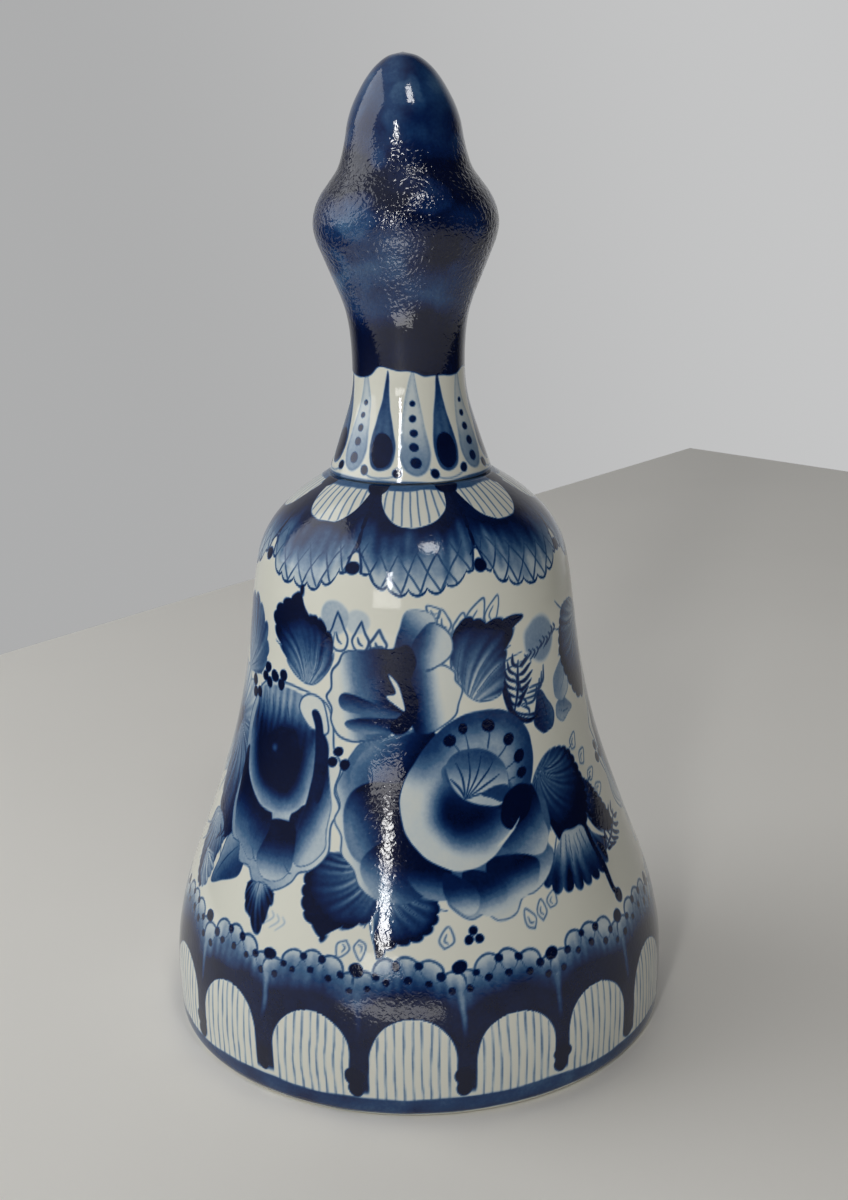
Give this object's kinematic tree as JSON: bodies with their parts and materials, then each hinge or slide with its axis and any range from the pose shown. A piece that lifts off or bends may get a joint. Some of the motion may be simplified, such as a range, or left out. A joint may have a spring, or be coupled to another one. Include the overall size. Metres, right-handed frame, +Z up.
{
  "type": "porcelain hand bell",
  "caption": "Porcelain hand bell with a waisted cup, a hollow knobbed grip and a ball clapper that swings on a swivelling eye pin.",
  "frame": {"origin": "centre of the ring that the rim stands on", "axes": "+Z up along the bell's axis to the tip of the knob; +Y away from the painted front, +X to the right seen from the front"},
  "size_m": [0.0704, 0.0704, 0.1327],
  "materials": {
    "glazed_white": "clear glaze over white porcelain with blue underglaze painting",
    "glazed_cobalt": "cobalt wash under a clear glaze",
    "bisque": "unglazed porcelain",
    "steel": "drawn wire",
    "brass": "satin, slightly tarnished"
  },
  "bodies": {
    "body": {"bell_cup": "glazed_white", "grip": "glazed_cobalt", "toggle_bar": "steel", "pin_washer": "brass"},
    "hanger": {"eye_pin": "steel"},
    "clapper": {"clapper_stem": "steel", "upper_ferrule": "brass", "clapper_ball": "bisque", "lower_ferrule": "brass"}
  },
  "joints": [
    {"name": "hanger_swivel", "type": "hinge", "parent": "body", "child": "hanger", "pos_m": [0, 0, 0.08], "axis": [0, 0, 1], "continuous": true},
    {"name": "clapper_swing", "type": "hinge", "parent": "hanger", "child": "clapper", "pos_m": [0, 0, 0.07], "axis": [0, 1, 0], "range_deg": [-23, 23]}
  ]
}
